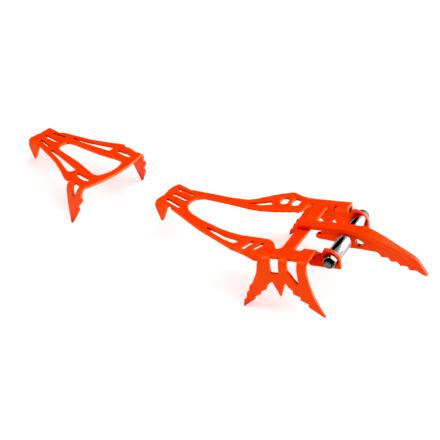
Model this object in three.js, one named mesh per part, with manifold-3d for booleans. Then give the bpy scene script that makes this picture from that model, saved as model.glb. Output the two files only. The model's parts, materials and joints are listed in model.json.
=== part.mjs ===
// A right-foot technical crampon without its linking bar and bindings: a front frame with one
// forward point, held by a cross bolt and two spacer tubes, and a separate heel frame.
// Both frames are steel sheet, cut flat and bent. Sole directions: X from heel to toe, Y to the
// left (the inner side of the foot), Z up from the tips. Millimetres and degrees.
import * as THREE from "three";
import { mergeVertices } from "three/addons/utils/BufferGeometryUtils.js";
import Module from "manifold-3d";

const wasm = await Module();
wasm.setup();

// Driving dimensions
const SHEET = 2.7; // thickness of both frames
const SOLE = 36; // top of the heel plate and of the front arms, above the heel tips
const REST_PITCH = 5.1; // nose-up pitch of the sole when all long points stand on the ground
const ARC_STEPS = 6; // facets in a small rounded corner

const heel = {
  wideBend: 31.4, // half-width of the plate where the long points bend down
  wideBendRadius: 6.5,
  narrowBend: 9.8, // the same for the short points at the narrow end
  narrowBendRadius: 4,
  splay: 0.2, // outward lean of a point per unit of its depth
};
const bridge = { middle: 6.5, halfWidth: 12.4, bendRadius: 4.4, splay: 0.2 };
const toe = {
  x: 242.2, // middle of the bend line between the arms and the toe block
  y: 34.4,
  yaw: 12.3, // the toe block turns inward
  pitch: 12.2, // and rises as a rocker
  length: 37.6, // from the bend line to the front edge
  wallBend: 38.6, // half-width where the side walls bend down
  wallBendRadius: 8,
  wallSplay: 0.096,
  barRear: 10.5, // cross-bar
  barFront: 20.4,
  slotReach: 34.2, // half-width of the gaps in front of and behind the cross-bar
  lugRoot: 27.5,
};
// Where an arm's outer edge starts to roll down into the side wall: how far back, the half-width
// of the bend line there, and the edge's reach past it.
const shoulders = {
  right: { from: -25, bend: 42, reach: 5.4 },
  left: { from: -13, bend: 39.6, reach: 3.4 },
  full: -5, // the bend is complete from here on
  drop: 10.4, // length of the rolled edge there, around the bend
};
const lug = {
  left: 29.2, // inner face of each ear, from the middle of the toe block
  right: 25.1,
  bottom: -16.2,
  bendRadius: 6.5,
};
const bolt = {
  s: 48.5, // place of the cross bolt's axis in the toe block
  n: -8.2,
  diameter: 6,
  hole: 6.6,
  headDiameter: 10.2,
  headHeight: 5.6,
  socket: 5,
  nutFlats: 10,
  nutHeight: 4.4,
  collarDiameter: 8.4, // round end of the lock nut
  collarHeight: 2.2,
  pastNut: 0.9,
};
const blade = { web: 4, flange: 8.8, flangeDepth: 3.6, lift: 0.3, holePitch: 12 };
const spacer = { outer: 11.8, inner: 6.5 };
const GAP = 0.25; // clearance between pieces that touch
const FAR = 90; // beyond the width or depth of any piece, for shapes that only cut

const V2 = (x, y) => new THREE.Vector2(x, y);
const radians = THREE.MathUtils.degToRad;

// Solids

function solid(geometry, matrix) {
  const bare = geometry.clone();
  bare.deleteAttribute("normal");
  bare.deleteAttribute("uv");
  if (matrix) bare.applyMatrix4(matrix);
  const merged = mergeVertices(bare, 1e-4);
  return new wasm.Manifold(
    new wasm.Mesh({
      numProp: 3,
      vertProperties: merged.attributes.position.array,
      triVerts: new Uint32Array(merged.index.array),
    }),
  );
}

function joined(solids) {
  return solids.reduce((whole, piece) => whole.add(piece));
}

function meshOf(manifold, name, material) {
  const { vertProperties, triVerts } = manifold.getMesh();
  const geometry = new THREE.BufferGeometry();
  geometry.setAttribute("position", new THREE.BufferAttribute(vertProperties, 3));
  geometry.setIndex(new THREE.BufferAttribute(triVerts, 1));
  geometry.computeVertexNormals();
  const mesh = new THREE.Mesh(geometry, material);
  mesh.name = name;
  return mesh;
}

function prism(shape, depth, curveSegments = ARC_STEPS) {
  return new THREE.ExtrudeGeometry(shape, { depth, bevelEnabled: false, curveSegments });
}

// A flat sheet cut to a plan outline, its top face at z = 0.
function sheet(shape, thickness = SHEET) {
  return solid(prism(shape, thickness).translate(0, 0, -thickness));
}

// A prism across the part: the shape is a side view (x forward, y up), from one width to another.
function across(shape, from, to) {
  return solid(prism(shape, to - from).rotateX(Math.PI / 2).translate(0, to, 0));
}

// A prism along the part: the shape is a cross-section (x to the left, y up).
function along(shape, from, to) {
  const turn = new THREE.Matrix4().makeBasis(
    new THREE.Vector3(0, 1, 0),
    new THREE.Vector3(0, 0, 1),
    new THREE.Vector3(1, 0, 0),
  );
  return solid(prism(shape, to - from, 8).applyMatrix4(turn).translate(from, 0, 0));
}

// A closed outline, wound anticlockwise so that holes of either winding cut through it.
function polygon(points) {
  const corners = points.map(([x, y]) => V2(x, y));
  return new THREE.Shape(THREE.ShapeUtils.isClockWise(corners) ? corners.reverse() : corners);
}

// A polygon's corners cut back to arcs of one radius, less on short sides.
function rounded(points, radius) {
  const path = [];
  points.forEach(([x, y], i) => {
    const here = V2(x, y);
    const back = V2(...points.at(i - 1)).sub(here);
    const on = V2(...points[(i + 1) % points.length]).sub(here);
    const reach = Math.min(radius, back.length() * 0.45, on.length() * 0.45);
    const arc = new THREE.QuadraticBezierCurve(
      here.clone().addScaledVector(back.normalize(), reach),
      here,
      here.clone().addScaledVector(on.normalize(), reach),
    );
    path.push(...arc.getPoints(ARC_STEPS / 2).map((p) => [p.x, p.y]));
  });
  return path;
}

function roundedHole(points, radius) {
  return new THREE.Path(rounded(points, radius).map(([x, y]) => V2(x, y)));
}

function mirrored(points) {
  return points.map(([x, y]) => [x, -y]);
}

// The cross-section of a sheet that runs outward from `from`, bends down at `bend` with the given
// outer radius, and goes on down to `depth` with an outward splay. side is -1 for the right.
function bentSection({ from, bend, radius, splay, depth, side }) {
  const turn = Math.PI / 2 - Math.atan(splay);
  const steps = 7;
  const outer = [];
  const inner = [];
  for (let i = 0; i <= steps; i += 1) {
    const a = (turn * i) / steps;
    outer.push([bend + radius * Math.sin(a), radius * Math.cos(a) - radius]);
    inner.push([bend + (radius - SHEET) * Math.sin(a), (radius - SHEET) * Math.cos(a) - radius]);
  }
  const drop = ([y, z]) => [y + splay * (depth + z), -depth];
  const points = [[from, 0], ...outer, drop(outer.at(-1)), drop(inner.at(-1))];
  points.push(...inner.reverse(), [from, -SHEET]);
  return polygon(points.map(([y, z]) => [side * y, z]));
}

// The barbed edge of a point, from its tip up to its root. Each barb stands `bite` out of the
// straight edge, on the side given by out (+1 is left of the way up), and faces the root.
function barbed(tip, root, places, bite, out) {
  const [a, b] = [V2(...tip), V2(...root)];
  const normal = b.clone().sub(a).normalize().rotateAround(V2(0, 0), (out * Math.PI) / 2);
  const edge = [];
  for (const place of places) {
    const onEdge = a.clone().lerp(b, place);
    const barb = onEdge.clone().addScaledVector(normal, bite);
    const step = a.clone().lerp(b, place + 0.035);
    edge.push([barb.x, barb.y], [step.x, step.y]);
  }
  return edge;
}

// Heel frame

function heelPlate() {
  const side = [
    [-11.2, 3.5],
    [-10.8, heel.narrowBend + 0.5],
    [2.4, heel.narrowBend + 0.5],
    [4.6, 14.2],
    [18, 17.8],
    [33, 22.2],
    [48, 28.8],
    [57.5, 34],
    [61.8, 35.4],
    [64.8, heel.wideBend + 1],
    [83.6, heel.wideBend + 1],
    [85, 27],
    [87, 14],
  ];
  const outline = [...side, [88, 0], ...mirrored(side).reverse(), [-9.8, 0]];
  const plate = polygon(rounded(outline, 3));

  const opening = [
    [18.2, 0],
    [19, 5],
    [24, 7.8],
    [51, 10.6],
    [75, 15.8],
    [79.6, 13.6],
    [82.4, 4],
  ];
  const openingOutline = [...opening, ...mirrored(opening.slice(1)).reverse()];
  plate.holes.push(roundedHole(openingOutline, 2.6));

  const longSlot = [
    [17.6, 12.2],
    [28, 13.2],
    [58.4, 19.2],
    [57.4, 24.4],
    [54.8, 26.6],
    [33.7, 18.4],
    [18.4, 14.2],
  ];
  const wideSlot = [
    [62.8, 22.2],
    [76.8, 22.4],
    [79.3, 24],
    [77.6, 26.8],
    [72, 27.4],
    [63, 25.4],
  ];
  const narrowSlot = [
    [-1.6, 6.5],
    [10.4, 8.5],
    [13, 9.3],
    [11.4, 11.2],
    [3, 9.2],
    [-1.2, 8.2],
  ];
  for (const slot of [longSlot, wideSlot, narrowSlot]) {
    plate.holes.push(roundedHole(slot, 1.8), roundedHole(mirrored(slot), 1.8));
  }
  const middleSlot = [
    [-3.6, 1.6],
    [11, 1.6],
    [13, 0],
    [11, -1.6],
    [-3.6, -1.6],
    [-5, 0],
  ];
  plate.holes.push(roundedHole(middleSlot, 1.5));
  return sheet(plate);
}

// A long heel point: straight rear edge, two hooked barbs on the front edge.
function widePoint(side) {
  const section = bentSection({
    from: heel.wideBend - 1,
    bend: heel.wideBend,
    radius: heel.wideBendRadius,
    splay: heel.splay,
    depth: SOLE + 2,
    side,
  });
  const profile = polygon([
    [64.8, 1],
    [64.9, -9],
    [67.5, -19],
    [72.9, -34.5],
    [74, -SOLE],
    [76.6, -30.6],
    [81, -21.6],
    [79, -19.4],
    [84, -11.8],
    [81.4, -10],
    [83.6, 1],
  ]);
  const window = polygon([
    [70.4, 1],
    [78.7, 1],
    [75, -10.4],
    [72.6, -11.2],
  ]);
  const windowFrom = heel.wideBend + 2;
  const [near, far] = side > 0 ? [windowFrom, FAR] : [-FAR, -windowFrom];
  return along(section, 60, 90).intersect(across(profile, -FAR, FAR)).subtract(across(window, near, far));
}

// A short wedge point at a corner of the narrow end.
function narrowPoint(side) {
  const section = bentSection({
    from: 4,
    bend: heel.narrowBend,
    radius: heel.narrowBendRadius,
    splay: heel.splay,
    depth: SOLE,
    side,
  });
  const profile = polygon([
    [-11.4, 1],
    [-11, -6.4],
    [-3.2, -15.4],
    [-1.8, -16.6],
    [-1, -14.6],
    [2.4, -3],
    [2.4, 1],
  ]);
  const body = along(section, -15, 10).intersect(across(profile, -FAR, FAR));
  // the flat part between the bend and the narrow slots belongs to the plate
  const inner = heel.narrowBend - 1.2;
  const keep = polygon([[-13, 2], [-13, -FAR], [6, -FAR], [6, 2]]);
  return body.intersect(side > 0 ? across(keep, inner, FAR) : across(keep, -FAR, -inner));
}

function heelFrame() {
  const sides = [-1, 1];
  return joined([heelPlate(), ...sides.map(widePoint), ...sides.map(narrowPoint)]).translate([0, 0, SOLE]);
}

// Front frame: arms

const levelMatrix = new THREE.Matrix4()
  .makeTranslation(toe.x, toe.y, SOLE)
  .multiply(new THREE.Matrix4().makeRotationZ(radians(toe.yaw)));
const toeMatrix = levelMatrix
  .clone()
  .multiply(new THREE.Matrix4().makeRotationY(-radians(toe.pitch)));

// Plan place, on the level sheet of the arms, of a point given along and across the toe block.
function fromToe(s, v) {
  const p = V2(s, v).rotateAround(V2(0, 0), radians(toe.yaw));
  return [p.x + toe.x, p.y + toe.y];
}

function armsPlate() {
  const rear = [
    [140.4, bridge.middle - bridge.halfWidth],
    [140.6, 1],
    [138.4, 10],
    [138.2, 14.5],
    [139.6, bridge.middle + bridge.halfWidth],
  ];
  const outerLeft = [
    [152, bridge.middle + bridge.halfWidth],
    [154, 21.6],
    [169.4, 28],
    [185.6, 34.3],
    [197.4, 40.6],
    [201.6, 45.6],
    [206.2, 53.7],
    [212.2, 64],
    [217, 70.4],
    fromToe(shoulders.left.from, shoulders.left.bend + shoulders.left.reach),
    fromToe(shoulders.left.from, shoulders.left.bend - 0.2),
    fromToe(shoulders.full, toe.wallBend - 0.2),
  ];
  const frontLeft = [
    fromToe(0.8, toe.wallBend - 0.2),
    fromToe(0.8, 21),
  ];
  const innerLeft = [
    [235.3, 53.8],
    [229, 48.4],
    [220.4, 41.6],
    [212.7, 36.5],
    [204.9, 32.9],
    [195.8, 30.2],
    [184.8, 26.4],
    [174.2, 22.6],
    [167.4, 19.8],
    [163.8, 15],
    [163.2, 8.4],
    [165.6, 2],
    [170.6, -1.8],
    [176, -3.6],
    [187, -4.6],
    [204.2, -4.1],
    [213.5, -2.9],
    [224, 0.2],
    [236, 6.4],
    [243.6, 10],
  ];
  const frontRight = [
    fromToe(0.8, -26),
    fromToe(0.8, 0.2 - toe.wallBend),
  ];
  const outerRight = [
    fromToe(shoulders.full, 0.2 - toe.wallBend),
    fromToe(shoulders.right.from, 0.2 - shoulders.right.bend),
    fromToe(shoulders.right.from, -shoulders.right.bend - shoulders.right.reach),
    [214.8, -16.2],
    [203.9, -15.6],
    [192.9, -14.7],
    [179.5, -12.4],
    [165, -9.6],
    [156.4, -8],
    [154.6, bridge.middle - bridge.halfWidth],
  ];
  const outline = [...rear, ...outerLeft, ...frontLeft, ...innerLeft, ...frontRight, ...outerRight];
  const plate = polygon(outline);

  const bridgeSlots = [
    [[145.6, -1.9], [162.6, -3.1]],
    [[144, 7.4], [161, 8]],
    [[142.8, 14.8], [160, 16.6]],
  ];
  plate.holes.push(...bridgeSlots.map(([a, b]) => slotHole(a, b, 3.7)));

  const longSlotRight = [
    [194, -9.6],
    [203, -8.1],
    [214.3, -7.9],
    [224.6, -5.4],
    [227.4, -8.2],
    [225.4, -12.2],
    [215.7, -12.9],
    [204.5, -12.2],
  ];
  const longSlotLeft = [
    [197.8, 35],
    [204.8, 42.4],
    [212.8, 52.6],
    [217, 48.2],
    [209.5, 40.6],
  ];
  plate.holes.push(roundedHole(longSlotRight, 2), roundedHole(longSlotLeft, 2));
  plate.holes.push(slotHole(fromToe(-15.9, 23.2), fromToe(-15.3, 34), 6.4));
  plate.holes.push(slotHole(fromToe(-6.8, 25.4), fromToe(-6.2, 36.8), 6.6));
  return sheet(plate).translate([0, 0, SOLE]);
}

// The two slots that run out into the right arm's rolled edge.
function edgeSlots() {
  const rear = slotHole([234.2, -12], [235.6, 0.2], 3.7);
  const front = slotHole([241.4, -7.4], [243.4, 3.4], 3.6);
  const depth = 8;
  return joined(
    [rear, front].map((slot) => {
      const shape = new THREE.Shape(slot.getPoints(ARC_STEPS));
      return solid(prism(shape, depth).translate(0, 0, SOLE + 1 - depth));
    }),
  );
}

// A slot of a given width between two end centres' outer reach.
function slotHole([ax, ay], [bx, by], width) {
  const angle = Math.atan2(by - ay, bx - ax);
  const r = width / 2;
  const inset = V2(Math.cos(angle) * r, Math.sin(angle) * r);
  const path = new THREE.Path();
  path.absarc(ax + inset.x, ay + inset.y, r, angle + Math.PI / 2, angle + 1.5 * Math.PI, false);
  path.absarc(bx - inset.x, by - inset.y, r, angle - Math.PI / 2, angle + Math.PI / 2, false);
  return path;
}

// The short point that bends down beside the rear bridge.
function bridgePoint(side) {
  const section = bentSection({
    from: bridge.halfWidth - 1,
    bend: bridge.halfWidth,
    radius: bridge.bendRadius,
    splay: bridge.splay,
    depth: SOLE,
    side,
  });
  const lean = side > 0 ? -1.5 : 0;
  const profile = polygon([
    [140.4 + lean, 1],
    [141 + lean, -5],
    [148.6 + lean, -13.6],
    [150.4 + lean, -14.8],
    [151.4 + lean, -12.4],
    [153.4 + lean, -2],
    [154.6 + lean, 1],
  ]);
  return along(section, 135, 160)
    .intersect(across(profile, -FAR, FAR))
    .translate([0, bridge.middle, SOLE]);
}

// Front frame: toe block, drawn along s (forward), across v (left) and up n from its own sheet

// Side view of a wall: a rear point, a small middle point and a long front point.
function wallProfile(rearTip) {
  const frontTip = [47.9, -46.8];
  const rearRoot = [rearTip[0] * 0.25 - 1.5, -16];
  return polygon([
    [-0.3, 2],
    [-0.3, -6],
    [-5.3, -7],
    [-5.7, -10.5],
    rearRoot,
    ...barbed(rearTip, rearRoot, [0.18, 0.4, 0.6], 1.5, 1).reverse(),
    rearTip,
    ...barbed(rearTip, [4.9, -22.6], [0.36, 0.58, 0.79], 1.6, -1),
    [5, -22],
    [6.4, -22],
    [12.2, -34],
    [16.3, -22.4],
    [17.6, -21.4],
    [19.3, -24.2],
    ...barbed(frontTip, [19.3, -24.2], [0.41, 0.63, 0.83], 2.1, 1).reverse(),
    frontTip,
    [43.9, -39.8],
    [39.8, -30.7],
    [37, -20.4],
    [35.5, -11],
    [36, -5],
    [toe.length, -1.5],
    [toe.length, 2],
  ]);
}

// Plan of one half of the toe block's sheet: the arm's round end, the gap behind the cross-bar,
// the relief in front of it, and the root of the lug.
function sidePlan(side) {
  const reach = toe.slotReach;
  return polygon(
    [
      [0, 70],
      [0, side > 0 ? 22 : 26.2],
      [1.8, side > 0 ? 23 : 27.4],
      [3.8, 30.6],
      [5.2, 33.2],
      [7, reach],
      [8.4, 33.8],
      [toe.barRear, 32],
      [toe.barFront, 32],
      [23.6, 32.6],
      [25, 33],
      [26.6, 32.6],
      [toe.lugRoot, 32],
      [toe.lugRoot, lugFace(side) - 2],
      [toe.length, lugFace(side) - 2],
      [toe.length, 70],
    ].map(([s, v]) => [s, side * v]),
  );
}

function sideWall(side) {
  const rearTip = side > 0 ? [-28.4, -43.6] : [-22.3, -47.8];
  const section = bentSection({
    from: 15,
    bend: toe.wallBend,
    radius: toe.wallBendRadius,
    splay: toe.wallSplay,
    depth: 52,
    side,
  });
  const rearWindow = polygon([
    [5, 2],
    [13.2, 2],
    [12.6, -14.4],
    [5.4, -14.4],
  ]);
  const frontWindow = polygon([
    [20, 2],
    [29, 2],
    [28, -9],
    [28.6, -20.2],
    [27.4, -21.2],
    [19.7, -11],
  ]);
  const windowTop = toe.wallBend + 3.8;
  const [near, far] = side > 0 ? [windowTop, FAR] : [-FAR, -windowTop];
  const plan = solid(prism(sidePlan(side), FAR).translate(0, 0, 10 - FAR));
  const hanging = polygon([[-40, -5], [-40, -FAR], [60, -FAR], [60, -5]]);
  return along(section, -40, 60)
    .intersect(across(wallProfile(rearTip), -FAR, FAR))
    .intersect(plan.add(across(hanging, ...outside(side))))
    .subtract(across(rearWindow, near, far))
    .subtract(across(frontWindow, near, far))
    .subtract(insideOf(side));
}

// A closed solid through a row of cross-sections with the same number of corners.
function lofted(sections) {
  const corners = sections[0].length;
  const positions = sections.flat(2);
  const faces = [];
  for (let i = 0; i < sections.length - 1; i += 1) {
    for (let j = 0; j < corners; j += 1) {
      const a = i * corners + j;
      const b = i * corners + ((j + 1) % corners);
      faces.push(a, b, b + corners, a, b + corners, a + corners);
    }
  }
  const cap = THREE.ShapeUtils.triangulateShape(sections[0].map(([, v, n]) => V2(v, n)), []);
  const last = (sections.length - 1) * corners;
  cap.forEach(([a, b, c]) => {
    faces.push(a, c, b, last + a, last + b, last + c);
  });
  const geometry = new THREE.BufferGeometry();
  geometry.setAttribute("position", new THREE.Float32BufferAttribute(positions, 3));
  geometry.setIndex(faces);
  return solid(geometry);
}

// The edge of an arm where it rolls over, station by station, from flat to the wall's full bend.
function shoulder(side) {
  const { from, bend, reach } = side > 0 ? shoulders.left : shoulders.right;
  const fullTurn = Math.PI / 2 - Math.atan(toe.wallSplay);
  const stations = 10;
  const bends = 6;
  const r = toe.wallBendRadius;
  const sections = [];
  for (let i = 0; i <= stations + 1; i += 1) {
    const s = i > stations ? 0.4 : from + ((shoulders.full - from) * i) / stations;
    const share = THREE.MathUtils.smoothstep(s, from, shoulders.full);
    const onFold = Math.min(1, (s - from) / (shoulders.full - from));
    const foldAt = THREE.MathUtils.lerp(bend, toe.wallBend, onFold);
    const turn = Math.max(share * fullTurn, 0.002);
    const straight = reach + (shoulders.drop - reach) * share - r * turn;
    const outer = [[foldAt - 0.6, 0]];
    const inner = [[foldAt - 0.6, -SHEET]];
    for (let k = 0; k <= bends; k += 1) {
      const a = (turn * k) / bends;
      outer.push([foldAt + r * Math.sin(a), r * Math.cos(a) - r]);
      inner.push([foldAt + (r - SHEET) * Math.sin(a), (r - SHEET) * Math.cos(a) - r]);
    }
    const onward = ([v, n]) => [v + straight * Math.cos(turn), n - straight * Math.sin(turn)];
    const ring = [...outer, onward(outer.at(-1)), onward(inner.at(-1)), ...inner.reverse()];
    sections.push(ring.map(([v, n]) => [s, side * v, n]));
  }
  if (side > 0) sections.forEach((ring) => ring.reverse());
  return lofted(sections);
}

// The widths beyond the side wall's bend, where the points hang.
function outside(side) {
  return side > 0 ? [toe.wallBend, FAR] : [-FAR, -toe.wallBend];
}

// What the flat part of the section would leave inboard of the lug's bend.
function insideOf(side) {
  const edge = lugFace(side) + lug.bendRadius;
  const box = polygon([[toe.lugRoot - 1, 2], [toe.lugRoot - 1, -5], [60, -5], [60, 2]]);
  return side > 0 ? across(box, 0, edge) : across(box, -edge, 0);
}

function crossBar() {
  const reach = toe.slotReach + 2;
  const fillet = 2.4;
  const half = toe.slotReach - fillet;
  const bar = polygon([
    [toe.barRear, -half],
    [toe.barRear, half],
    [toe.barRear - fillet, reach],
    [toe.barFront + fillet, reach],
    [toe.barFront, half],
    [toe.barFront, -half],
    [toe.barFront + fillet, -reach],
    [toe.barRear - fillet, -reach],
  ]);
  return sheet(bar);
}

// Half-width of the inner face of an ear.
function lugFace(side) {
  return side > 0 ? lug.left : lug.right;
}

// The ear that holds the cross bolt: bent down from the inner edge, then forward past the plate.
function boltLug(side) {
  const inner = lugFace(side);
  const outer = inner + SHEET;
  const bendAt = inner + lug.bendRadius;
  const section = bentSection({
    from: -toe.wallBend,
    bend: -bendAt,
    radius: lug.bendRadius,
    splay: 0,
    depth: 12,
    side: -side,
  });
  const rootProfile = polygon([[toe.lugRoot, 1], [toe.lugRoot, -8], [toe.length, -8], [toe.length, 1]]);
  const root = across(rootProfile, -FAR, FAR);
  const ear = polygon([
    [toe.lugRoot, -4.6],
    [40.6, -4.6],
    [42, -2.4],
    [43.4, 0.2],
    [46, 0.2],
    [48.8, -0.7],
    [51, -2],
    [52.8, -3.9],
    [54.8, -6.6],
    [55.6, -9.6],
    [55.2, lug.bottom],
    [toe.lugRoot + 3, lug.bottom],
    [toe.lugRoot, lug.bottom + 3],
  ]);
  const [near, far] = side > 0 ? [inner, outer] : [-outer, -inner];
  return along(section, 20, 60).intersect(root).add(across(ear, near, far));
}

// A round bar across the toe block on the bolt's axis, or moved forward of it.
function acrossRound(diameter, from, to, forward = 0, sides = 28) {
  const bar = new THREE.CylinderGeometry(diameter / 2, diameter / 2, to - from, sides);
  return solid(bar.translate(bolt.s + forward, (from + to) / 2, bolt.n));
}

function toeBlock() {
  const sides = [-1, 1];
  return joined([crossBar(), ...sides.map(sideWall), ...sides.map(boltLug)]).subtract(
    acrossRound(bolt.hole, -FAR, FAR),
  );
}

function frontFrame() {
  const sides = [-1, 1];
  const rolledEdges = sides.map((side) => shoulder(side).transform(levelMatrix.elements));
  const arms = joined([armsPlate(), ...sides.map(bridgePoint), ...rolledEdges]).subtract(edgeSlots());
  return arms.add(toeBlock().transform(toeMatrix.elements));
}

// Front point and its fastening, in the toe block's own directions

function frontPoint() {
  const top = [
    [toe.barRear - 0.4, blade.flangeDepth + blade.lift],
    [54, 3.9],
    [62, 3.4],
    [70, 1.2],
    [79, -3.1],
    [88, -8],
    [97, -12.9],
    [103.4, -16.6],
  ];
  const beak = [
    [105.8, -19],
    [112.4, -31.4],
  ];
  const teeth = [];
  const firstTooth = V2(77, -19);
  const lastTooth = V2(98.6, -27.6);
  const count = 4;
  for (let i = count - 1; i >= 0; i -= 1) {
    const tip = firstTooth.clone().lerp(lastTooth, i / (count - 1));
    teeth.push([tip.x + 5.4, tip.y + 0.3], [tip.x, tip.y], [tip.x - 0.9, tip.y + 2]);
  }
  const web = polygon([
    [29.6, 2],
    ...top.slice(1).map(([s, n]) => [s, n - 0.6]),
    ...beak,
    [108.4, -30.2],
    ...teeth,
    [74.2, -14.9],
    [62, -14.1],
    [51, -13.9],
    [39.4, -9.8],
    [26.4, -8.8],
    [24.6, -7.8],
    [24.4, -5.6],
    [26, -4.3],
    [29.6, -4],
  ]);
  const band = polygon([
    ...top,
    ...beak.slice(0, 1),
    [105, -21.5],
    ...top.slice(1).map(([s, n]) => [s, n - blade.flangeDepth]).reverse(),
    [toe.barRear - 0.4, blade.lift],
  ]);
  const halfPlan = [
    [toe.barRear - 0.4, 0.5],
    [40, 0.5],
    [49, 0.46],
    [60, 0.56],
    [68, 0.6],
    [80, 0.5],
    [92, 0.36],
    [104, 0.24],
    [107, 0.22],
  ].map(([s, share]) => [s, share * blade.flange]);
  const planOutline = [...halfPlan, ...mirrored(halfPlan).reverse()];
  const plan = solid(prism(polygon(planOutline), FAR).translate(0, 0, 10 - FAR));
  const flange = across(band, -blade.flange, blade.flange).intersect(plan);
  return across(web, -blade.web / 2, blade.web / 2)
    .add(flange)
    .subtract(acrossRound(bolt.hole, -FAR, FAR))
    .subtract(acrossRound(bolt.hole, -FAR, FAR, blade.holePitch));
}

function spacerTube(side) {
  const from = blade.web / 2 + GAP;
  const to = lugFace(side) - GAP;
  const ends = side > 0 ? [from, to] : [-to, -from];
  return acrossRound(spacer.outer, ...ends, 0, 32).subtract(acrossRound(spacer.inner, -FAR, FAR));
}

// A cap bolt with a hexagon socket; its head is on the left, its end past the nut.
function crossBolt() {
  const face = lug.left + SHEET + GAP;
  const end = -(lug.right + SHEET + GAP + bolt.nutHeight + bolt.collarHeight + bolt.pastNut);
  const r = bolt.headDiameter / 2;
  const profile = [
    [0, end],
    [bolt.diameter / 2 - 0.7, end],
    [bolt.diameter / 2, end + 0.7],
    [bolt.diameter / 2, face],
    [r, face],
    [r, face + bolt.headHeight - 0.6],
    [r - 0.6, face + bolt.headHeight],
    [0, face + bolt.headHeight],
  ];
  const turned = solid(new THREE.LatheGeometry(profile.map(([x, y]) => V2(x, y)), 28));
  const socketDepth = 3;
  const corner = bolt.socket / Math.sqrt(3);
  const socket = new THREE.CylinderGeometry(corner, corner, 2 * socketDepth, 6);
  socket.translate(0, face + bolt.headHeight, 0);
  return turned.subtract(solid(socket)).translate([bolt.s, 0, bolt.n]);
}

// A hexagon nut with a round locking collar on its outer end.
function lockNut() {
  const face = -(lug.right + SHEET + GAP);
  const corner = bolt.nutFlats / Math.sqrt(3);
  const hexagon = new THREE.CylinderGeometry(corner, corner, bolt.nutHeight, 6);
  hexagon.rotateY(radians(12));
  const chamfer = new THREE.LatheGeometry(
    [
      V2(0, -bolt.nutHeight / 2),
      V2(bolt.nutFlats / 2 - 0.1, -bolt.nutHeight / 2),
      V2(corner + 0.1, -bolt.nutHeight / 2 + 0.7),
      V2(corner + 0.1, bolt.nutHeight / 2),
      V2(0, bolt.nutHeight / 2),
    ],
    36,
  );
  const hexEnd = face - bolt.nutHeight;
  return solid(hexagon)
    .intersect(solid(chamfer))
    .translate([bolt.s, face - bolt.nutHeight / 2, bolt.n])
    .add(acrossRound(bolt.collarDiameter, hexEnd - bolt.collarHeight, hexEnd + 1))
    .subtract(acrossRound(bolt.diameter + 0.3, -FAR, 0));
}

// Materials and assembly

const coat = new THREE.MeshStandardMaterial({ color: 0xff4a10, roughness: 0.42, metalness: 0.1 });
const pointCoat = coat.clone();
const polished = new THREE.MeshStandardMaterial({ color: 0xc9cccf, roughness: 0.14, metalness: 1 });
const zinc = new THREE.MeshStandardMaterial({ color: 0xb9bdc0, roughness: 0.3, metalness: 1 });
const dark = new THREE.MeshStandardMaterial({ color: 0x5d6064, roughness: 0.4, metalness: 1 });

const sole = new THREE.Group();
sole.rotation.y = -radians(REST_PITCH);
sole.add(meshOf(frontFrame(), "front_frame", coat));
sole.add(meshOf(heelFrame(), "heel_frame", coat.clone()));

const toeGroup = new THREE.Group();
toeGroup.applyMatrix4(toeMatrix);
toeGroup.add(meshOf(frontPoint(), "front_point", pointCoat));
toeGroup.add(meshOf(spacerTube(-1), "spacer_tube_right", polished));
toeGroup.add(meshOf(spacerTube(1), "spacer_tube_left", polished.clone()));
toeGroup.add(meshOf(crossBolt(), "cross_bolt", dark));
toeGroup.add(meshOf(lockNut(), "lock_nut", zinc));
sole.add(toeGroup);

// The part's origin is under the middle of its box, on the ground.
const group = new THREE.Group();
group.add(sole);
group.updateMatrixWorld(true);
const box = new THREE.Box3().setFromObject(group, true);
const middle = box.getCenter(new THREE.Vector3());
sole.position.set(-middle.x, -middle.y, -box.min.z);

export default group;
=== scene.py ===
"""A right-foot crampon without its linking bar: two coated frames, and a forward point held by a
cross bolt between polished spacer tubes. Metres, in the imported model's own frame."""
import json
import math

import bmesh
import bpy
from mathutils import Matrix, Vector


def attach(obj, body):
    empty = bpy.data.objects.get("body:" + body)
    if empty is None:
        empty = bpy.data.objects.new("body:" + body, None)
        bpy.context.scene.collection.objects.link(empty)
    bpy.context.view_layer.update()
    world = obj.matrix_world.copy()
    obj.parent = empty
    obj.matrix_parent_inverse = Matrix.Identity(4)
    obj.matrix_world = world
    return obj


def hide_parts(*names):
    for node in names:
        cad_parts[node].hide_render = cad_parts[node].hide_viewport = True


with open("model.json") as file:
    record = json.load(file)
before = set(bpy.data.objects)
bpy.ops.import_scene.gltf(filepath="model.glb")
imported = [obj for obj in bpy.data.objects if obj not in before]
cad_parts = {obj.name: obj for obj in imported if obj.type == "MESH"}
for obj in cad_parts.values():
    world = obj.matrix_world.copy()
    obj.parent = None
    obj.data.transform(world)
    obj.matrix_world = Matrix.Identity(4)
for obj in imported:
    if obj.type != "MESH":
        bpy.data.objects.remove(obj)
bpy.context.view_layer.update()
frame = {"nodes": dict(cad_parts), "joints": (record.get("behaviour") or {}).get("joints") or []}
nodes = frame["nodes"]
MM = 0.001

# Camera: it looks down at the sole from the front right. The sole is pitched nose-up, and the
# camera is level with the sole, so it leans a little in this frame.
SOLE_PITCH = 5.1
CAMERA_ELEVATION = 36.2
CAMERA_AZIMUTH = 40.6
CAMERA_DISTANCE = 0.852
CAMERA_TARGET = (-0.00324, 0.01562, 0.00875)
CAMERA_LENS = 81.82

# Coated pieces, in mm: the size of a face of the skin, and how far the coat is pushed out. That
# isn't a measured coat: it brings the outline nearer to the photo's, inside the CAD box.
COAT_GRID = {"front_frame": 0.42, "heel_frame": 0.38, "front_point": 0.34}
COAT_THICKNESS = {"front_frame": 0.18, "heel_frame": 0.1, "front_point": 0.03}
COAT_KEPT = {"front_frame": 0.66, "heel_frame": 0.8, "front_point": 1}  # share of the faces kept
COAT_SMOOTHING = 5
SPECK_POINTS = 200  # a loose bit of skin with fewer points is a speck
CREVICE_SHADE_REACH = 19 * MM  # painted shade: a face with metal nearer than this in front of it is painted darker
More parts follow.
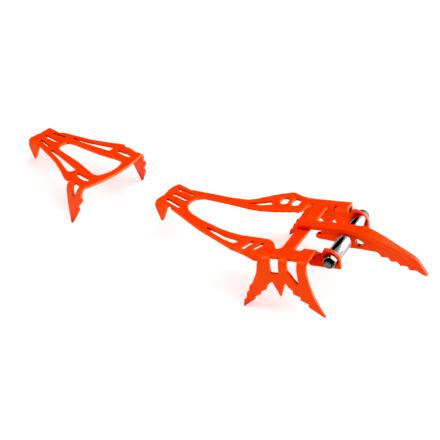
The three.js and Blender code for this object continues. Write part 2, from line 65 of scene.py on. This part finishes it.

# Turned pieces
TUBE_BORE_SHARE = 6.5 / 11.8  # of the outer diameter
TUBE_CORNER = 0.35 * MM
BOLT_RADIUS = 3 * MM
HEAD_HEIGHT = 5.6 * MM
SOCKET_FLATS = 5 * MM
KNURLS = 36
KNURL_DEPTH = 0.28 * MM
THREAD_LENGTH = 14 * MM
THREAD_PITCH = 1.0 * MM
THREAD_DEPTH = 0.55 * MM
NUT_FLATS = 10 * MM
NUT_BORE_RADIUS = 3.15 * MM
COLLAR_LENGTH = 2.2 * MM
COLLAR_DIAMETER = 7.6 * MM
SHARP_ANGLE = 32  # a turned piece's edge is sharp from this many degrees

# Room: directions seen from the object, and brightness
WHITE_SIDE = (0.35, 0.88, 0.3)
DARK_CORNER = (-0.6, 0.64, 0.5)
ROOM_GREY = 0.3
BLACK_LEVEL = 0.03  # the deepest shade that still prints as black


def joint(name):
    return next(j for j in frame["joints"] if j["name"] == name)


# Camera


def add_camera():
    e = math.radians(CAMERA_ELEVATION)
    a = math.radians(CAMERA_AZIMUTH)
    right = Vector((math.cos(a), math.sin(a), 0))
    up = Vector((-math.sin(e) * math.sin(a), math.sin(e) * math.cos(a), math.cos(e)))
    back = right.cross(up)
    level = Matrix((right, up, back)).transposed()
    turn = Matrix.Rotation(-math.radians(SOLE_PITCH), 3, "Y") @ level
    camera = bpy.data.objects.new("camera", bpy.data.cameras.new("camera"))
    camera.data.lens = CAMERA_LENS
    camera.data.sensor_width = 36
    camera.data.clip_start = 0.01
    camera.matrix_world = Matrix.Translation(
        Vector(CAMERA_TARGET) + turn @ Vector((0, 0, CAMERA_DISTANCE))
    ) @ turn.to_4x4()
    bpy.context.scene.collection.objects.link(camera)
    bpy.context.scene.camera = camera


# Materials


class Nodes:
    """A short way to write a material's node tree."""

    def __init__(self, name):
        self.material = bpy.data.materials.new(name)
        self.material.use_nodes = True
        self.tree = self.material.node_tree
        self.shader = self.tree.nodes["Principled BSDF"]

    def add(self, kind, settings=(), **inputs):
        node = self.tree.nodes.new("ShaderNode" + kind)
        for key, value in dict(settings).items():
            setattr(node, key, value)
        for key, value in inputs.items():
            self.set(node, key.replace("_", " "), value)
        return node

    def set(self, node, key, value):
        by_number = key[0] == "i" and key[1:].isdigit()  # i0 is the first input
        socket = node.inputs[int(key[1:]) if by_number else key]
        if isinstance(value, bpy.types.NodeSocket):
            self.tree.links.new(value, socket)
        else:
            socket.default_value = value

    def surface(self, **inputs):
        for key, value in inputs.items():
            self.set(self.shader, key.replace("_", " "), value)

    def place(self, scale):
        where = self.add("TexCoord").outputs["Object"]
        return self.add("Mapping", i0=where, i3=scale).outputs[0]

    def noise(self, scale, detail=2, roughness=0.5, stretch=(1, 1, 1)):
        where = self.place(stretch)
        node = self.add("TexNoise", Vector=where, Scale=scale, Detail=detail, Roughness=roughness)
        return node.outputs["Fac"]

    def ramp(self, value, stops):
        node = self.add("ValToRGB", Fac=value)
        elements = node.color_ramp.elements
        while len(elements) < len(stops):
            elements.new(0.5)
        for element, (position, colour) in zip(elements, stops):
            element.position = position
            element.color = (*colour, 1)
        return node.outputs["Color"]

    def grey(self, value, low, high, at=(0.0, 1.0)):
        return self.ramp(value, [(at[0], (low,) * 3), (at[1], (high,) * 3)])

    def mix(self, share, a, b):
        node = self.add("Mix", {"data_type": "RGBA"})
        self.set(node, "i0", share)
        self.set(node, "i6", a)
        self.set(node, "i7", b)
        return node.outputs[2]

    def math(self, operation, a, b):
        node = self.add("Math", {"operation": operation})
        self.set(node, "i0", a)
        self.set(node, "i1", b)
        return node.outputs[0]

    def bump(self, height, strength, distance):
        node = self.add("Bump", Height=height, Strength=strength, Distance=distance)
        return node.outputs["Normal"]


def coat_material(name, base, edge, shade_from_own_metal_only=False):
    """Semi-gloss powder coat: a fine orange-peel skin, slightly uneven colour, a painted highlight
    along the cut edges and where it faces forward, as in the photo, and painted shade in crevices."""
    m = Nodes(name)
    curvature = m.add("NewGeometry").outputs["Pointiness"]
    convex = m.grey(curvature, 0, 1, at=(0.54, 0.64))
    patches = m.noise(55, detail=4, roughness=0.6)
    speckle = m.noise(2600, detail=2)
    deeper = tuple(c * 0.86 for c in base[:3]) + (1,)
    tone = m.mix(m.grey(patches, 0.0, 0.5, at=(0.35, 0.75)), base, deeper)
    tone = m.mix(m.grey(speckle, 0.0, 0.06, at=(0.5, 0.8)), tone, edge)
    # Painted highlight: convex edges are tinted paler, in patches set by noise.
    edge_highlight = m.math("MULTIPLY", convex, m.grey(m.noise(160, detail=3), 0.3, 0.8, at=(0.3, 0.7)))
    tone = m.mix(edge_highlight, tone, edge)
    # Painted highlight: faces that point forward are tinted paler.
    normal = m.add("NewGeometry").outputs["Normal"]
    forward_highlight = m.add("VectorMath", {"operation": "DOT_PRODUCT"}, i0=normal, i1=FORWARD_HIGHLIGHT_WAY)
    tone = m.mix(m.grey(forward_highlight.outputs["Value"], 0, 0.5, at=(0.8, 0.97)), tone, FORWARD_HIGHLIGHT)
    # Painted shade: the colour turns dark red where nearby metal hides the open sky.
    settings = {"samples": 8, "only_local": shade_from_own_metal_only}
    open_sky = m.add("AmbientOcclusion", settings, Distance=CREVICE_SHADE_REACH).outputs["AO"]
    tone = m.mix(m.grey(open_sky, 0, 1, at=(0.33, 0.84)), PAINTED_SHADE_RED, tone)
    height = m.math("ADD", m.noise(950, detail=1), m.math("MULTIPLY", m.noise(3200, detail=2), 0.35))
    m.surface(
        Base_Color=tone,
        Roughness=m.grey(patches, 0.36, 0.48, at=(0.3, 0.7)),
        Normal=m.bump(height, 0.25, 0.06 * MM),
    )
    m.shader.inputs["Specular IOR Level"].default_value = 0.28
    m.shader.inputs["Coat Weight"].default_value = 0.08
    m.shader.inputs["Coat Roughness"].default_value = 0.25
    return m.material


def metal_material(
    name, base, dark, roughness, stretch, grain_strength=0.12, rim=(1, 1, 1, 1), stained=(90, 0.6)
):
    """Steel with fine lines that run where stretch is small, and stains of a given scale and
    strength. The rim is its colour at a glancing angle."""
    m = Nodes(name)
    lines = m.noise(900, detail=3, stretch=stretch)
    stains = m.noise(stained[0], detail=4, roughness=0.65)
    tone = m.mix(m.grey(stains, 0.0, stained[1], at=(0.42, 0.62)), base, dark)
    tone = m.mix(m.grey(lines, 0.0, 0.25, at=(0.4, 0.7)), tone, dark)
    low, high = roughness
    m.surface(
        Base_Color=tone,
        Roughness=m.grey(lines, low, high, at=(0.35, 0.7)),
        Normal=m.bump(lines, grain_strength, 0.03 * MM),
    )
    m.shader.inputs["Metallic"].default_value = 1
    m.shader.inputs["Specular Tint"].default_value = rim
    return m.material


def collar_material():
    m = Nodes("dark_collar")
    speckle = m.noise(1800, detail=2)
    m.surface(
        Base_Color=m.ramp(speckle, [(0.3, (0.006, 0.006, 0.006)), (0.8, (0.025, 0.025, 0.026))]),
        Roughness=m.grey(speckle, 0.38, 0.55),
        Normal=m.bump(speckle, 0.2, 0.04 * MM),
    )
    m.shader.inputs["Specular IOR Level"].default_value = 0.15
    return m.material


ORANGE = (0.95, 0.058, 0.0, 1)
# Paler orange: random specks, and the painted highlight along convex edges.
ORANGE_SPECK_AND_HIGHLIGHT = (1.0, 0.2, 0.02, 1)
FORWARD_HIGHLIGHT = (1.0, 0.3, 0.09, 1)  # for the photo's highlights on what faces forward
FORWARD_HIGHLIGHT_WAY = (0.98, -0.05, 0.2)
# Dark red of the painted shade in crevices.
PAINTED_SHADE_RED = (0.3, 0.004, 0.0, 1)
POINT_ORANGE = (0.95, 0.054, 0.0, 1)


# Coated steel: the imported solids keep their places, and modifiers give them a finished surface


def speck_filter():
    """A node group that deletes the small loose specks that a voxel skin can leave."""
    group = bpy.data.node_groups.new("drop_specks", "GeometryNodeTree")
    for way in ("INPUT", "OUTPUT"):
        group.interface.new_socket("Geometry", in_out=way, socket_type="NodeSocketGeometry")
    start = group.nodes.new("NodeGroupInput")
    end = group.nodes.new("NodeGroupOutput")
    island = group.nodes.new("GeometryNodeInputMeshIsland")
    count = group.nodes.new("GeometryNodeAccumulateField")
    small = group.nodes.new("FunctionNodeCompare")
    drop = group.nodes.new("GeometryNodeDeleteGeometry")
    count.inputs["Value"].default_value = 1
    small.operation = "LESS_THAN"
    small.inputs["B"].default_value = SPECK_POINTS
    for output, socket in (
        (island.outputs["Island Index"], count.inputs["Group ID"]),
        (count.outputs["Total"], small.inputs["A"]),
        (start.outputs[0], drop.inputs["Geometry"]),
        (small.outputs["Result"], drop.inputs["Selection"]),
        (drop.outputs["Geometry"], end.inputs[0]),
    ):
        group.links.new(output, socket)
    return group


def finish_coated(node, material):
    piece = nodes[node]
    piece.data.materials.clear()
    piece.data.materials.append(material)
    skin = piece.modifiers.new("coat", "REMESH")
    skin.mode = "VOXEL"
    skin.voxel_size = COAT_GRID[node] * MM
    skin.use_smooth_shade = True
    piece.modifiers.new("drop_specks", "NODES").node_group = drop_specks
    soft = piece.modifiers.new("soft_edges", "SMOOTH")
    soft.factor = 0.5
    soft.iterations = COAT_SMOOTHING
    layer = piece.modifiers.new("coat_thickness", "DISPLACE")
    layer.mid_level = 0
    layer.strength = COAT_THICKNESS[node] * MM
    if COAT_KEPT[node] < 1:
        thin = piece.modifiers.new("fewer_faces", "DECIMATE")
        thin.ratio = COAT_KEPT[node]


# Turned pieces: they are built along the bolt's own axis

turn_joint = joint("bolt_turn")
AXIS = Vector(turn_joint["axis"]).normalized()
LEVEL = Vector((0, 0, 1)).cross(AXIS).normalized()
AXIS_TURN = Matrix((LEVEL, AXIS.cross(LEVEL), AXIS)).transposed().to_4x4()
# from local z along the bolt, and local x level, to the model's frame
AXIS_FRAME = Matrix.Translation(Vector(turn_joint["pos_m"])) @ AXIS_TURN


def extent(node):
    """Lowest and highest place of a node along the bolt's axis, and its largest radius."""
    local = [AXIS_FRAME.inverted() @ v.co for v in nodes[node].data.vertices]
    along = [p.z for p in local]
    return min(along), max(along), max(math.hypot(p.x, p.y) for p in local)


def object_of(name, bm, material, body, replaced=None):
    """Turn a mesh built along the bolt's axis into a finished piece."""
    bmesh.ops.recalc_face_normals(bm, faces=bm.faces)
    mesh = bpy.data.meshes.new(name)
    bm.to_mesh(mesh)
    bm.free()
    mesh.materials.append(material)
    piece = bpy.data.objects.new(name, mesh)
    piece.matrix_world = AXIS_FRAME
    bpy.context.scene.collection.objects.link(piece)
    chosen = {"object": piece, "active_object": piece, "selected_editable_objects": [piece]}
    with bpy.context.temp_override(**chosen):
        bpy.ops.object.shade_smooth_by_angle(angle=math.radians(SHARP_ANGLE))
    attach(piece, body)
    if replaced:
        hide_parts(replaced)


def add_ring(bm, z, radius_at, segments):
    """Points round local z, at a radius that is given for each angle."""
    angles = [2 * math.pi * k / segments for k in range(segments)]
    radii = [radius_at(a) for a in angles]
    return [bm.verts.new((r * math.cos(a), r * math.sin(a), z)) for a, r in zip(angles, radii)]


def join_rings(bm, pairs):
    for lower, upper in pairs:
        for k in range(len(lower)):
            n = (k + 1) % len(lower)
            bm.faces.new([lower[k], lower[n], upper[n], upper[k]])


def lathe(profile, segments):
    """A solid of revolution about local z, from a closed outline of (radius, z) pairs."""
    bm = bmesh.new()
    rings = [add_ring(bm, z, lambda a, r=r: r, segments) for r, z in profile]
    join_rings(bm, zip(rings, rings[1:] + rings[:1]))
    return bm


def spacer_tube(node, material):
    """A polished tube with broken corners at both ends."""
    low, high, outer = extent(node)
    inner = outer * TUBE_BORE_SHARE
    cut = TUBE_CORNER
    profile = [
        (inner + cut, low),
        (outer - cut, low),
        (outer - cut * 0.3, low + cut * 0.3),
        (outer, low + cut),
        (outer, high - cut),
        (outer - cut * 0.3, high - cut * 0.3),
        (outer - cut, high),
        (inner + cut, high),
        (inner, high - cut),
        (inner, low + cut),
    ]
    tube = lathe(profile, 128)
    object_of(node + "_polished", tube, material, "front", node)


def hexagon_radius(flats, angle):
    """Distance from the middle of a hexagon to its side, in one direction."""
    part = (angle + math.pi / 6) % (math.pi / 3) - math.pi / 6
    return flats / 2 / math.cos(part)


def cross_bolt(material):
    """Cap bolt: a head with fine straight knurls and a hexagon socket, a plain shank, and a thread
    that runs out in a chamfered end."""
    low, high, head_radius = extent("cross_bolt")
    radius = BOLT_RADIUS
    head_low = high - HEAD_HEIGHT
    thread_top = low + THREAD_LENGTH
    segments = 3 * KNURLS
    bm = bmesh.new()

    def ring(z, radius_at):
        return add_ring(bm, z, radius_at, segments)

    def plain(r):
        return lambda angle: r

    def thread_ring(z):
        fade = min(1, (thread_top - z) / (2 * MM), (z - low) / (0.8 * MM) + 0.35)
        crest = min(radius, radius - 0.7 * MM + (z - low))  # the chamfered end is thinner

        def radius_at(angle):
            phase = (z / THREAD_PITCH - angle / (2 * math.pi)) % 1
            valley = max(0, 1 - abs(phase - 0.5) / 0.42)
            return crest - THREAD_DEPTH * valley * max(0, fade)

        return ring(z, radius_at)

    def knurled(angle):
        return head_radius - KNURL_DEPTH * (0.5 - 0.5 * math.cos(KNURLS * angle))

    def socket(margin):
        return lambda angle: hexagon_radius(SOCKET_FLATS, angle) + margin

    steps = round(THREAD_LENGTH / THREAD_PITCH * 10)
    rings = [ring(low, plain(radius - 0.9 * MM))]
    rings += [thread_ring(low + THREAD_LENGTH * (i + 0.5) / steps) for i in range(steps)]
    rings += [
        ring(thread_top, plain(radius)),
        ring(head_low - 0.3 * MM, plain(radius)),
        ring(head_low, plain(radius + 0.3 * MM)),
        ring(head_low, plain(head_radius - 0.5 * MM)),
        ring(head_low + 0.35 * MM, plain(head_radius)),
        ring(head_low + 0.6 * MM, knurled),
        ring(high - 1.1 * MM, knurled),
        ring(high - 0.8 * MM, plain(head_radius)),
        ring(high - 0.25 * MM, plain(head_radius - 0.35 * MM)),
        ring(high, plain(head_radius - 0.9 * MM)),
        ring(high, socket(0.35 * MM)),
        ring(high - 0.35 * MM, socket(0)),
        ring(high - 3 * MM, socket(0)),
    ]
    join_rings(bm, zip(rings, rings[1:]))
    bottom = bm.verts.new((0, 0, high - 3.9 * MM))
    end = bm.verts.new((0, 0, low))
    for k in range(segments):
        n = (k + 1) % segments
        bm.faces.new([rings[-1][k], rings[-1][n], bottom])
        bm.faces.new([rings[0][n], rings[0][k], end])
    object_of("cross_bolt_turned", bm, material, "bolt", "cross_bolt")


def lock_nut(material, collar):
    """Hexagon nut with chamfered corners, and the dark locking collar on its outer end."""
    low, high, corner = extent("lock_nut")
    bore = NUT_BORE_RADIUS
    hex_low = low + COLLAR_LENGTH
    bm = bmesh.new()

    def section(z, limit):
        """A ring of the hexagon, cut back to a circle where the corners are turned away."""
        return add_ring(bm, z, lambda a: min(hexagon_radius(NUT_FLATS, a), limit), 120)

    flat = NUT_FLATS / 2
    rings = [
        section(hex_low, flat - 0.1 * MM),
        section(hex_low + 0.25 * MM, flat + 0.22 * MM),
        section(hex_low + 0.6 * MM, corner - 0.1 * MM),
        section(high - 0.6 * MM, corner - 0.1 * MM),
        section(high - 0.2 * MM, flat + 0.22 * MM),
        section(high, flat - 0.1 * MM),
        section(high, bore + 0.4 * MM),
        section(high - 0.4 * MM, bore),
        section(hex_low, bore),
    ]
    join_rings(bm, zip(rings, rings[1:] + rings[:1]))
    object_of("lock_nut_zinc", bm, material, "nut", "lock_nut")

    outer = COLLAR_DIAMETER / 2
    collar_profile = [
        (bore, low + 0.5 * MM),
        (bore + 0.25 * MM, low + 0.15 * MM),
        (outer - 0.7 * MM, low),
        (outer - 0.3 * MM, low + 0.1 * MM),
        (outer - 0.08 * MM, low + 0.3 * MM),
        (outer, low + 0.6 * MM),
        (outer, hex_low - 0.1 * MM),
        (outer - 0.2 * MM, hex_low - 0.02 * MM),
        (bore, hex_low - 0.02 * MM),
    ]
    object_of("lock_nut_collar", lathe(collar_profile, 96), collar, "nut")


# Stage


def add_floor():
    bpy.ops.mesh.primitive_plane_add(size=6, location=(0, 0, 0))
    floor = bpy.context.object
    floor.name = "floor"
    m = Nodes("pale_floor")
    tone = m.grey(m.noise(3, detail=1), 0.72, 0.75)
    m.surface(Base_Color=tone, Roughness=0.7, Emission_Color=(1, 1, 1, 1), Emission_Strength=0.36)
    floor.data.materials.append(m.material)


def add_area(name, location, size, power):
    light = bpy.data.lights.new(name, "AREA")
    light.shape = "RECTANGLE"
    light.size, light.size_y = size
    light.energy = power
    lamp = bpy.data.objects.new(name, light)
    lamp.location = location
    lamp.rotation_euler = (-Vector(location)).to_track_quat("-Z", "Y").to_euler()
    bpy.context.scene.collection.objects.link(lamp)


def add_world():
    """A grey room, white on the object's left, with a dark corner at the rear left, above."""
    world = bpy.data.worlds.new("studio")
    world.use_nodes = True
    bpy.context.scene.world = world
    nodes_of = world.node_tree.nodes
    link = world.node_tree.links.new
    towards = nodes_of.new("ShaderNodeTexCoord").outputs["Generated"]

    def zone(direction, stops):
        """A value that changes round a direction: where it starts and ends, as the cosine of the
        angle from the direction, and the values there."""
        dot = nodes_of.new("ShaderNodeVectorMath")
        dot.operation = "DOT_PRODUCT"
        link(towards, dot.inputs[0])
        dot.inputs[1].default_value = Vector(direction).normalized()
        ramp = nodes_of.new("ShaderNodeMapRange")
        ramp.interpolation_type = "SMOOTHSTEP"
        link(dot.outputs["Value"], ramp.inputs["Value"])
        for key, value in zip(("From Min", "From Max", "To Min", "To Max"), stops):
            ramp.inputs[key].default_value = value
        return ramp.outputs["Result"]

    bright = zone(WHITE_SIDE, (0.74, 0.93, ROOM_GREY, 1.05))
    dark = zone(DARK_CORNER, (0.9, 0.97, 1, 0.03))
    both = nodes_of.new("ShaderNodeMath")
    both.operation = "MULTIPLY"
    link(bright, both.inputs[0])
    link(dark, both.inputs[1])
    link(both.outputs[0], nodes_of["Background"].inputs["Color"])


def add_light():
    add_world()
    add_area("softbox", (0.5, 1.25, 0.45), (0.8, 1.0), 10)
    add_area("overhead", (0.55, 0.0, 1.4), (1.2, 1.1), 16)
    add_area("rear_side", (-0.85, -1.1, 0.95), (0.8, 0.6), 8)
    view = bpy.context.scene.view_settings
    view.view_transform = "Standard"
    view.use_curve_mapping = True
    view.curve_mapping.black_level = (BLACK_LEVEL,) * 3
    view.curve_mapping.update()


add_camera()
coat = coat_material("frame_coat", ORANGE, ORANGE_SPECK_AND_HIGHLIGHT)
point_coat = coat_material("point_coat", POINT_ORANGE, ORANGE_SPECK_AND_HIGHLIGHT, shade_from_own_metal_only=True)
drop_specks = speck_filter()
for coated in ("front_frame", "heel_frame"):
    finish_coated(coated, coat)
finish_coated("front_point", point_coat)
nodes["front_point"].visible_glossy = False  # the tubes mirror the room, not the blade
tube_steel = metal_material(
    "polished_tube",
    base=(0.74, 0.73, 0.74, 1),
    dark=(0.5, 0.5, 0.52, 1),
    roughness=(0.09, 0.2),
    stretch=(1, 1, 0.03),
    grain_strength=0.05,
    # Pink rim at glancing angles: a painted reflection of the orange coat.
    rim=(0.62, 0.36, 0.42, 1),
)
for tube in ("spacer_tube_left", "spacer_tube_right"):
    spacer_tube(tube, tube_steel)
bolt_steel = metal_material(
    "bolt_steel",
    base=(0.21, 0.215, 0.2, 1),
    dark=(0.07, 0.075, 0.07, 1),
    roughness=(0.28, 0.42),
    stretch=(0.2, 0.2, 1),
)
cross_bolt(bolt_steel)
nut_steel = metal_material(
    "nut_steel",
    base=(0.4, 0.405, 0.39, 1),
    dark=(0.07, 0.072, 0.07, 1),
    roughness=(0.2, 0.34),
    stretch=(1, 1, 0.3),
    stained=(420, 0.85),
)
lock_nut(nut_steel, collar_material())
add_floor()
add_light()
